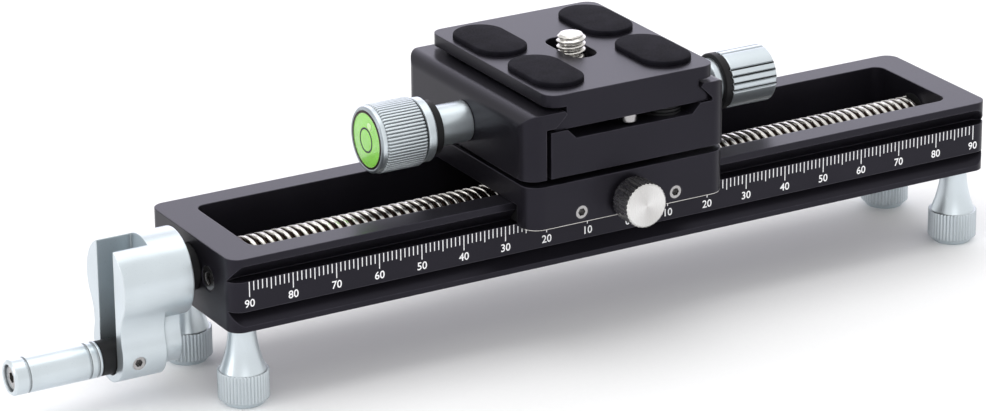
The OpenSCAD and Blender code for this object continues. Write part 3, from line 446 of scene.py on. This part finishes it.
def addPiece(name, points, faces, materials, body, replaced=(), faceMaterial=None, smooth=True):
    data = bpy.data.meshes.new(name)
    data.from_pydata([tuple(p) for p in points], [], faces)
    for material in materials:
        data.materials.append(material)
    if faceMaterial:
        data.polygons.foreach_set("material_index", faceMaterial)
    data.polygons.foreach_set("use_smooth", [smooth] * len(faces))
    data.update()
    cleaned = bmesh.new()
    cleaned.from_mesh(data)
    bmesh.ops.recalc_face_normals(cleaned, faces=cleaned.faces)
    cleaned.to_mesh(data)
    cleaned.free()
    piece = bpy.data.objects.new(name, data)
    bpy.context.scene.collection.objects.link(piece)
    if smooth:
        piece.modifiers.new("creases", "EDGE_SPLIT").split_angle = math.radians(creaseAngle)
    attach(piece, body)
    if replaced:
        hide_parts(*replaced)
    return piece


# Rings of equal length, one after another, closed by a flat face at each end
def skinRings(rings, tag=None):
    count = len(rings[0])
    points = [p for ring in rings for p in ring]
    faces, tags = [], []
    for i in range(len(rings) - 1):
        for j in range(count):
            k = (j + 1) % count
            faces.append((i * count + j, i * count + k, (i + 1) * count + k, (i + 1) * count + j))
            tags.append(tag(i, j) if tag else 0)
    for base, flip in ((0, True), ((len(rings) - 1) * count, False)):
        cap = list(range(base, base + count))
        faces.append(tuple(reversed(cap)) if flip else tuple(cap))
        tags.append(0)
    return points, faces, tags


# Lead screw: a trapezoid thread between two plain journals
thread = {
    "lead": 8.0, "starts": 4, "crest": 4.0, "root": 3.2, "journal": 3.0, "rise": 0.12, "land": 0.40,
    "highlightAbove": 0.62, "farGap": 1.0, "around": 72, "step": 0.1,
}
threadHeight = thread["crest"] - thread["root"]


# Height of the ridge, 0 to 1, over one pitch
def ridge(phase):
    phase = phase % 1.0
    rise = thread["rise"]
    land = thread["land"]
    if phase < rise:
        return phase / rise
    if phase < rise + land:
        return 1.0
    if phase < 2 * rise + land:
        return (2 * rise + land - phase) / rise
    return 0.0


screwAxisZ = (screwLow[2] + screwHigh[2]) / 2
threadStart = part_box("inner_thrust_ring")[1][0] / mm
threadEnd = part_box("far_end_bush")[0][0] / mm - thread["farGap"]
pitch = thread["lead"] / thread["starts"]
rows = int(round((threadEnd - threadStart) / thread["step"]))
angles = [2 * math.pi * j / thread["around"] for j in range(thread["around"])]


def threadRadius(x, angle):
    height = ridge((x - thread["lead"] * angle / (2 * math.pi)) / pitch)
    return thread["root"] + threadHeight * height


def screwRing(x, radii):
    return [Vector((x * mm, r * math.cos(a) * mm, screwAxisZ + r * math.sin(a) * mm))
            for r, a in zip(radii, angles)]


journalRadii = [thread["journal"]] * thread["around"]
rings = [screwRing(screwLow[0] / mm, journalRadii), screwRing(threadStart, journalRadii)]
journalRings = len(rings)
for row in range(rows + 1):
    x = threadStart + row * thread["step"]
    rings.append(screwRing(x, [threadRadius(x, a) for a in angles]))
rings.append(screwRing(threadStart + rows * thread["step"], journalRadii))
rings.append(screwRing(screwHigh[0] / mm, journalRadii))


# Ridge tops get the bright steel as painted highlight (0); grooves get the dark steel as painted shade, and
# the journals share it (1)
def ridgeTag(i, j):
    if i < journalRings or i >= rows + journalRings:
        return 1
    x = threadStart + (i - journalRings + 0.5) * thread["step"]
    middle = 2 * math.pi * (j + 0.5) / thread["around"]
    return 0 if threadRadius(x, middle) > thread["root"] + thread["highlightAbove"] * threadHeight else 1


points, faces, tags = skinRings(rings, ridgeTag)
addPiece("leadScrewThread", points, faces, [brightSteelAndHighlight, darkSteelAndShade], "drive", ("lead_screw",), tags)
print("stage: lead screw,", len(faces), "faces")

# Printed scale on the rail's front: lengths of its marks and height of its digits
scale = {
    "reach": 90, "top": 10.95, "short": 2.0, "five": 2.5, "ten": 3.3, "line": 0.21, "proud": 0.012,
    "sunk": 0.01, "digitHigh": 1.75, "digitMiddle": 6.25, "bold": 0.012, "curveSteps": 3,
}
face = railLow[1] - scale["proud"] * mm
inkPoints, inkFaces = [], []


def inkBar(x0, x1, z0, z1):
    base = len(inkPoints)
    corners = ((x0, z0), (x1, z0), (x1, z1), (x0, z1))
    for y in (face, railLow[1] + scale["sunk"] * mm):
        inkPoints.extend((x * mm, y, z * mm) for x, z in corners)
    inkFaces.append((base, base + 1, base + 2, base + 3))
    for i in range(4):
        k = (i + 1) % 4
        inkFaces.append((base + i, base + 4 + i, base + 4 + k, base + k))


for mark in range(-scale["reach"], scale["reach"] + 1):
    length = scale["ten"] if mark % 10 == 0 else scale["five"] if mark % 5 == 0 else scale["short"]
    half = scale["line"] / 2
    inkBar(mark - half, mark + half, scale["top"] - length, scale["top"])

for mark in range(-scale["reach"], scale["reach"] + 1, 10):
    label = bpy.data.curves.new("label", "FONT")
    label.body = str(abs(mark))
    label.align_x = "CENTER"
    label.size = 1.0
    label.offset = scale["bold"]   # a little bolder than the plain face
    label.resolution_u = scale["curveSteps"]
    holder = bpy.data.objects.new("label", label)
    bpy.context.scene.collection.objects.link(holder)
    bpy.context.view_layer.update()
    shape = bpy.data.meshes.new_from_object(holder)
    low = min(v.co.y for v in shape.vertices)
    high = max(v.co.y for v in shape.vertices)
    grow = scale["digitHigh"] / (high - low)
    base = len(inkPoints)
    for v in shape.vertices:
        z = scale["digitMiddle"] + (v.co.y - (low + high) / 2) * grow
        inkPoints.append(((mark + v.co.x * grow) * mm, face, z * mm))
    inkFaces.extend(tuple(base + i for i in p.vertices) for p in shape.polygons)
    bpy.data.objects.remove(holder)
    bpy.data.curves.remove(label)
    bpy.data.meshes.remove(shape)

addPiece("railScale", inkPoints, inkFaces, [scaleInk], "rail", smooth=False)
print("stage: scale,", len(inkFaces), "faces")

# Rubber pads: a rounded edge and a low dome, on the outline of the CAD pad
padShape = {"dome": 0.18, "edge": 0.42, "around": 20, "steps": 6, "domeSteps": (0.3, 0.6, 0.85)}


def addPad(node):
    low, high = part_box(node)
    cx, cy = (low[0] + high[0]) / 2, (low[1] + high[1]) / 2
    halfWide = (high[0] - low[0]) / 2 / mm
    halfLong = (high[1] - low[1]) / 2 / mm
    tall = (high[2] - low[2]) / mm

    def outline(inset):
        radius = halfWide - inset
        straight = halfLong - halfWide
        ring = []
        for side, start in ((1, 0.0), (-1, math.pi)):
            for i in range(padShape["around"] + 1):
                a = start + math.pi * i / padShape["around"]
                ring.append((radius * math.cos(a), side * straight + radius * math.sin(a)))
        return ring

    levels = [(0.0, 0.0)]
    body = tall - padShape["dome"]
    edge = padShape["edge"]
    for i in range(padShape["steps"] + 1):
        a = math.pi / 2 * i / padShape["steps"]
        levels.append((edge * (1 - math.cos(a)), body - edge + edge * math.sin(a)))
    for share in padShape["domeSteps"]:
        dome = padShape["dome"] * math.sin(math.pi / 2 * share)
        levels.append((edge + (halfWide - edge) * share, body + dome))
    rings = []
    for inset, z in levels:
        rings.append([Vector((cx + x * mm, cy + y * mm, low[2] + z * mm)) for x, y in outline(inset)])
    points, faces, _ = skinRings(rings)
    name = node.replace("_", " ").title().replace(" ", "") + "Rubber"
    pad = addPiece(name, points, faces, [rubber], "plate", (node,))


for corner in ("front_left", "front_right", "back_left", "back_right"):
    addPad("pad_" + corner)
print("stage: pads")

# Camera screw: a round head below and a pointed thread above
stud = {
    "crest": 3.16, "root": 2.55, "pitch": 1.27, "around": 48, "step": 0.07, "head": 5.8, "sunk": 4.2,
    "bevel": 0.3, "clear": 0.1, "tip": 0.75, "flankFrom": 0.12, "flankSpan": 0.7,
}
studX = (stubLow[0] + stubHigh[0]) / 2
studY = (stubLow[1] + stubHigh[1]) / 2
headTop = plateHigh[2] / mm - stud["sunk"]
threadFrom = headTop + stud["clear"]
threadTo = stubHigh[2] / mm
headLow = stubLow[2] / mm


def studRing(z, radii):
    count = stud["around"]
    return [Vector((studX + r * math.cos(2 * math.pi * j / count) * mm,
                    studY + r * math.sin(2 * math.pi * j / count) * mm, z * mm)) for j, r in enumerate(radii)]


headProfile = (
    (headLow, stud["head"] - stud["bevel"]), (headLow + stud["bevel"], stud["head"]),
    (headTop - stud["bevel"], stud["head"]), (headTop, stud["head"] - stud["bevel"]), (headTop, stud["root"]),
)
rings = [studRing(z, [radius] * stud["around"]) for z, radius in headProfile]
studRows = int((threadTo - threadFrom) / stud["step"])
for row in range(studRows + 1):
    z = threadFrom + row * stud["step"]
    chamfer = max(0.0, z - (threadTo - stud["tip"]))
    radii = []
    for j in range(stud["around"]):
        phase = (z / stud["pitch"] - j / stud["around"]) % 1.0
        tooth = 1 - abs(2 * phase - 1)
        tooth = min(1.0, max(0.0, (tooth - stud["flankFrom"]) / stud["flankSpan"]))
        radii.append(min(stud["root"] + (stud["crest"] - stud["root"]) * tooth, stud["crest"] - chamfer))
    rings.append(studRing(z, radii))
rings.append(studRing(threadTo, [min(r, stud["crest"] - stud["tip"]) for r in radii]))
points, faces, _ = skinRings(rings)
addPiece("cameraScrewThread", points, faces, [brightSteelAndHighlight], "screw", ("camera_screw",))
print("stage: camera screw")


# Rings about an axis along X; each stop is (x, radius, cut by teeth or grooves), then maybe its material
def turnedRings(stops, centre, count, cutDepth):
    rings = []
    middleY, middleZ = centre
    for x, radius, toothed, *_ in stops:
        ring = []
        for k in range(count):
            a = 2 * math.pi * k / count
            rr = radius - cutDepth(k) if toothed else radius
            ring.append(Vector((x * mm, middleY + rr * math.cos(a) * mm, middleZ + rr * math.sin(a) * mm)))
        rings.append(ring)
    return rings


# Clamp knob from its front rim to the end of its neck
knob = {
    "radius": 7.4, "toothDepth": 0.42, "teeth": 62, "perTooth": 6, "length": 13.4, "rim": 1.3,
    "rimRadius": 7.15, "rimBevel": 0.35, "bore": 6.3, "boreDeep": 1.2, "flange": 2.1, "flangeRadius": 6.95,
    "flangeBevel": 0.3, "grooveWide": 0.55, "grooveWall": 0.02, "grooveRadius": 6.55, "ring": 2.0,
    "ringRadius": 5.9, "neckRadius": 4.4, "boreBevel": 0.1, "rimStep": 0.1, "toothBevel": 0.25, "lip": 0.15,
}
knobAxis = ((knobLow[1] + knobHigh[1]) / 2, (knobLow[2] + knobHigh[2]) / 2)
knobFront = knobLow[0] / mm
knobBack = knobFront + knob["length"]
neckEnd = knobHigh[0] / mm
rimEnd = knobFront + knob["rim"]
knurlEnd = knobBack - knob["flange"] - knob["grooveWide"]
flangeStart = knurlEnd + knob["grooveWide"]
ringEnd = knobBack + knob["ring"]
metalPart, blackPart, rimPart = 0, 1, 2
knobStops = [
    (knobFront + knob["boreDeep"], knob["bore"], 0, metalPart),
    (knobFront + knob["boreBevel"], knob["bore"], 0, metalPart),
    (knobFront, knob["bore"] + knob["boreBevel"], 0, rimPart),
    (knobFront, knob["rimRadius"] - knob["rimBevel"], 0, rimPart),
    (knobFront + knob["rimBevel"], knob["rimRadius"], 0, metalPart),
    (rimEnd, knob["rimRadius"], 0, metalPart),
    (rimEnd + knob["rimStep"], knob["rimRadius"] - knob["toothBevel"], 0, metalPart),
    (rimEnd + knob["lip"], knob["radius"] - knob["toothBevel"], 1, metalPart),
    (rimEnd + knob["lip"] + knob["toothBevel"], knob["radius"], 1, metalPart),
    (knurlEnd - knob["toothBevel"], knob["radius"], 1, metalPart),
    (knurlEnd, knob["radius"] - knob["toothBevel"], 1, metalPart),
    # Painted shade: the groove's bottom behind the knurl takes the black plastic
    (knurlEnd + knob["grooveWall"], knob["grooveRadius"], 0, blackPart),
    (flangeStart, knob["grooveRadius"], 0, metalPart),
    (flangeStart, knob["flangeRadius"] - knob["lip"], 0, metalPart),
    (flangeStart + knob["lip"], knob["flangeRadius"], 0, metalPart),
    (knobBack - knob["flangeBevel"], knob["flangeRadius"], 0, metalPart),
    (knobBack, knob["flangeRadius"] - knob["flangeBevel"], 0, metalPart),
    (knobBack, knob["ringRadius"], 0, blackPart),
    (ringEnd, knob["ringRadius"], 0, blackPart),
    (ringEnd, knob["neckRadius"], 0, metalPart),
    (neckEnd, knob["neckRadius"], 0, metalPart),
]


def knurlDepth(k):
    return knob["toothDepth"] if k % knob["perTooth"] in (0, knob["perTooth"] - 1) else 0.0


rings = turnedRings(knobStops, knobAxis, knob["perTooth"] * knob["teeth"], knurlDepth)
points, faces, tags = skinRings(rings, lambda i, j: knobStops[i][3])
addPiece("clampKnobTurned", points, faces, [silverSatin, moulded, rimPaintedDarkReflection], "jaw_knob",
         ("clamp_knob",), tags)

# Pan knob: four groups of four grooves; angles in degrees
panGrip = {
    "radius": 6.3, "stem": 3.6, "stemEnd": 2.6, "shoulder": 5.3, "shoulderBevel": 0.5, "bevelEnd": 2.1,
    "shoulderLong": 1.6, "neckUnder": 4.72, "collarGap": 0.02, "gripBevel": 0.2,
    "grooveEnd": 0.5, "roundLong": 0.15, "roundIn": 0.3, "endIn": 0.75,
    "grooveDepth": 0.42, "grooveHalf": 2.6, "firstGroup": 165.3, "spacing": 15.0, "groups": 4, "inGroup": 4,
    "around": 240,
}
panAxis = ((panLow[1] + panHigh[1]) / 2, (panLow[2] + panHigh[2]) / 2)
gripFrom = collarHigh[0] / mm + panGrip["collarGap"]
gripTo = panHigh[0] / mm
collarFrom = collarLow[0] / mm
groupMiddle = (panGrip["inGroup"] - 1) / 2
grooveAngles = [panGrip["firstGroup"] + 360 / panGrip["groups"] * g + panGrip["spacing"] * (i - groupMiddle)
                for g in range(panGrip["groups"]) for i in range(panGrip["inGroup"])]


def gripDepth(k):
    here = math.degrees(2 * math.pi * k / panGrip["around"])
    gap = min(abs((here - g + 180) % 360 - 180) for g in grooveAngles)
    return panGrip["grooveDepth"] if gap < panGrip["grooveHalf"] else 0.0


panStops = [
    (panLow[0] / mm, panGrip["stem"], 0),
    (collarFrom - panGrip["stemEnd"], panGrip["stem"], 0),
    (collarFrom - panGrip["bevelEnd"], panGrip["shoulder"] - panGrip["shoulderBevel"], 0),
    (collarFrom - panGrip["shoulderLong"], panGrip["shoulder"], 0),
    (collarFrom, panGrip["shoulder"], 0),
    (collarFrom, panGrip["neckUnder"], 0),
    (gripFrom, panGrip["neckUnder"], 0),
    (gripFrom, panGrip["radius"] - panGrip["gripBevel"], 0),
    (gripFrom + panGrip["gripBevel"], panGrip["radius"], 1),
    (gripTo - panGrip["grooveEnd"], panGrip["radius"], 1),
    (gripTo - panGrip["roundLong"], panGrip["radius"] - panGrip["roundIn"], 0),
    (gripTo, panGrip["radius"] - panGrip["endIn"], 0),
]
grooved = [gripDepth(k) > 0 for k in range(panGrip["around"] + 1)]


# Painted shade: the grip's groove bottoms take the black plastic, dark where shade falls
def grooveTag(i, j):
    return blackPart if panStops[i][2] and grooved[j] and grooved[j + 1] else metalPart


rings = turnedRings(panStops, panAxis, panGrip["around"], gripDepth)
points, faces, tags = skinRings(rings, grooveTag)
addPiece("panKnobGrooved", points, faces, [silverSatin, moulded], "pan_lock",
         ("pan_knob",), tags)

# Black collar, notched where the grooves of the grip meet it
lugs = {
    "radius": 6.35, "deep": 0.45, "wide": 0.55, "bevel": 0.35, "bevelLong": 0.25, "gap": 0.02,
    "bandIn": 0.05, "lugIn": 0.06,
}
collarTo = collarHigh[0] / mm
collarStops = [
    (collarFrom, panGrip["neckUnder"] + lugs["gap"], 0),
    (collarFrom, lugs["radius"] - lugs["bevel"], 0),
    (collarFrom + lugs["bevelLong"], lugs["radius"] - lugs["bandIn"], 0),
    (collarTo - lugs["wide"], lugs["radius"] - lugs["bandIn"], 0),
    (collarTo - lugs["wide"], lugs["radius"] - lugs["lugIn"], 1),
    (collarTo, lugs["radius"] - lugs["lugIn"], 1),
]


def lugDepth(k):
    return lugs["deep"] if grooved[k] else 0.0


points, faces, _ = skinRings(turnedRings(collarStops, panAxis, panGrip["around"], lugDepth))
addPiece("panCollarLugs", points, faces, [moulded], "pan_lock", ("pan_collar",))
print("stage: knobs")

# Bubble level in the clamp knob's end; its front bulges towards -X
level = {
    "around": 64, "radius": 6.28, "dome": 0.28, "sunk": 0.12, "deep": 0.9, "clear": 0.02, "bezel": 0.42,
    "bezelLift": 0.16, "markRadius": 2.55, "markWide": 0.4, "markLift": 0.03,
    "fluidSteps": (0.9, 0.75, 0.55, 0.35, 0.15, 0.03), "lensRadii": (4.6, 3.0, 1.5, 0.2),
    "bubbleRadius": 0.9, "bubbleUp": 3.4, "bubbleSide": 1.5, "bubbleOut": 3.7, "bubbleLift": 0.12,
    "bubbleSteps": 6, "smallest": 0.05,
}
vialMiddle = [(a + b) / 2 for a, b in zip(vialLow, vialHigh)]
fluidFront = knobLow[0] + level["sunk"] * mm


def discRing(x, radius, centre=(0.0, 0.0)):
    count = level["around"]
    ring = []
    for j in range(count):
        a = 2 * math.pi * j / count
        ring.append(Vector((x, vialMiddle[1] + (centre[0] + radius * math.cos(a)) * mm,
                            vialMiddle[2] + (centre[1] + radius * math.sin(a)) * mm)))
    return ring


def domeX(radius):
    share = min(1.0, radius / level["radius"])
    return fluidFront - level["dome"] * mm * math.cos(math.pi / 2 * share)


fluidRadius = level["radius"] - level["clear"]
rings = [discRing(fluidFront + level["deep"] * mm, fluidRadius), discRing(fluidFront, fluidRadius)]
for share in level["fluidSteps"]:
    rings.append(discRing(domeX(level["radius"] * share), fluidRadius * share))
points, faces, _ = skinRings(rings)
addPiece("levelFluid", points, faces, [fluidGreen], "jaw_knob", ("level_vial",))


# A closed band on the domed face, from its inner to its outer radius
def faceBand(name, inner, outer, lift, material):
    stops = ((outer, 0.0), (outer, lift), (inner, lift), (inner, 0.0))
    rings = [discRing(domeX(q) - rise * mm, q) for q, rise in stops]
    count = level["around"]
    points = [p for ring in rings for p in ring]
    faces = []
    for i in range(4):
        n = (i + 1) % 4
        for j in range(count):
            k = (j + 1) % count
            faces.append((i * count + j, i * count + k, n * count + k, n * count + j))
    addPiece(name, points, faces, [material], "jaw_knob")


markHalf = level["markWide"] / 2
bezelInner = level["radius"] - level["bezel"]
faceBand("levelMark", level["markRadius"] - markHalf, level["markRadius"] + markHalf, level["markLift"],
         moulded)
faceBand("levelBezel", bezelInner, level["radius"], level["bezelLift"], darkSteelAndShade)

bubbleAt = (-level["bubbleSide"], level["bubbleUp"])
rings = []
for step in range(level["bubbleSteps"] + 1):
    a = math.pi / 2 * step / level["bubbleSteps"]
    front = domeX(level["bubbleOut"]) - level["bubbleLift"] * mm * math.sin(a)
    rings.append(discRing(front, max(level["smallest"], level["bubbleRadius"] * math.cos(a)), bubbleAt))
points, faces, _ = skinRings(rings)
addPiece("levelBubble", points, faces, [bubblePale], "jaw_knob")

rings = [discRing(domeX(q) - level["bezelLift"] * mm, q) for q in (bezelInner, *level["lensRadii"])]
points, faces, _ = skinRings(rings)
addPiece("levelLens", points, faces, [lensClear], "jaw_knob", ("level_window",))
print("stage: level")

# Painted highlight: a thin bright strip along the carriage's lower front edge and round its two corners,
# where the edge catches the light
highlightStrip = {"high": 0.12, "corner": 3.75, "proud": 0.02, "sunk": 0.05, "steps": 8}
cornerReach = highlightStrip["corner"] * mm
route = []
for centreX, start in ((saddleLow[0] + cornerReach, 180), (saddleHigh[0] - cornerReach, 270)):
    for step in range(highlightStrip["steps"] + 1):
        a = math.radians(start + 90 * step / highlightStrip["steps"])
        route.append((centreX, saddleLow[1] + cornerReach, math.cos(a), math.sin(a)))
highlightSection = (
    (highlightStrip["proud"], 0.0), (highlightStrip["proud"], highlightStrip["high"]), (-highlightStrip["sunk"], highlightStrip["high"]), (-highlightStrip["sunk"], 0.0))
edgePoints, edgeFaces = [], []
for cx, cy, nx, ny in route:
    for out, rise in highlightSection:
        reach = (highlightStrip["corner"] + out) * mm
        edgePoints.append((cx + nx * reach, cy + ny * reach, saddleLow[2] + rise * mm))
for i in range(len(route) - 1):
    for j in range(4):
        k = (j + 1) % 4
        edgeFaces.append((4 * i + j, 4 * i + 4 + j, 4 * i + 4 + k, 4 * i + k))
last = 4 * (len(route) - 1)
edgeFaces += [(3, 2, 1, 0), (last, last + 1, last + 2, last + 3)]
addPiece("saddleEdgeHighlight", edgePoints, edgeFaces, [brightSteelAndHighlight], "carriage", smooth=False)

# Grooved round part in the clamp's front scoop: it stands on the scoop's floor and ends at its back wall.
# Each step of its profile is a share of the height and how far it is cut in
scoopPart = {
    "radius": 4.1, "x": 7.4, "fromFront": 5.5, "scoopLength": 8.0, "backGap": 0.05, "pinSunk": 0.5,
    "underPlate": 0.25, "around": 96,
    "profile": ((0, 0), (0.28, 0), (0.30, 0.4), (0.42, 0.4), (0.44, 0), (0.68, 0), (0.70, 0.4), (0.82, 0.4),
                (0.84, 0), (0.94, 0), (1, 0.25)),
}
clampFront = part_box("clamp_base")[0][1] / mm
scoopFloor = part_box("stop_pins")[0][2] / mm - scoopPart["pinSunk"]
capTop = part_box("quick_plate")[0][2] / mm - scoopPart["underPlate"]
scoopBack = clampFront + scoopPart["scoopLength"] - scoopPart["backGap"]
rings = []
for share, cut in scoopPart["profile"]:
    z = scoopFloor + share * (capTop - scoopFloor)
    radius = scoopPart["radius"] - cut
    ring = []
    for k in range(scoopPart["around"]):
        a = 2 * math.pi * (k + 0.5) / scoopPart["around"]
        y = min(clampFront + scoopPart["fromFront"] + radius * math.sin(a), scoopBack)
        ring.append(Vector(((scoopPart["x"] + radius * math.cos(a)) * mm, y * mm, z * mm)))
    rings.append(ring)
points, faces, _ = skinRings(rings)
addPiece("scoopCap", points, faces, [moulded], "clamp", smooth=False)
print("stage: trim")
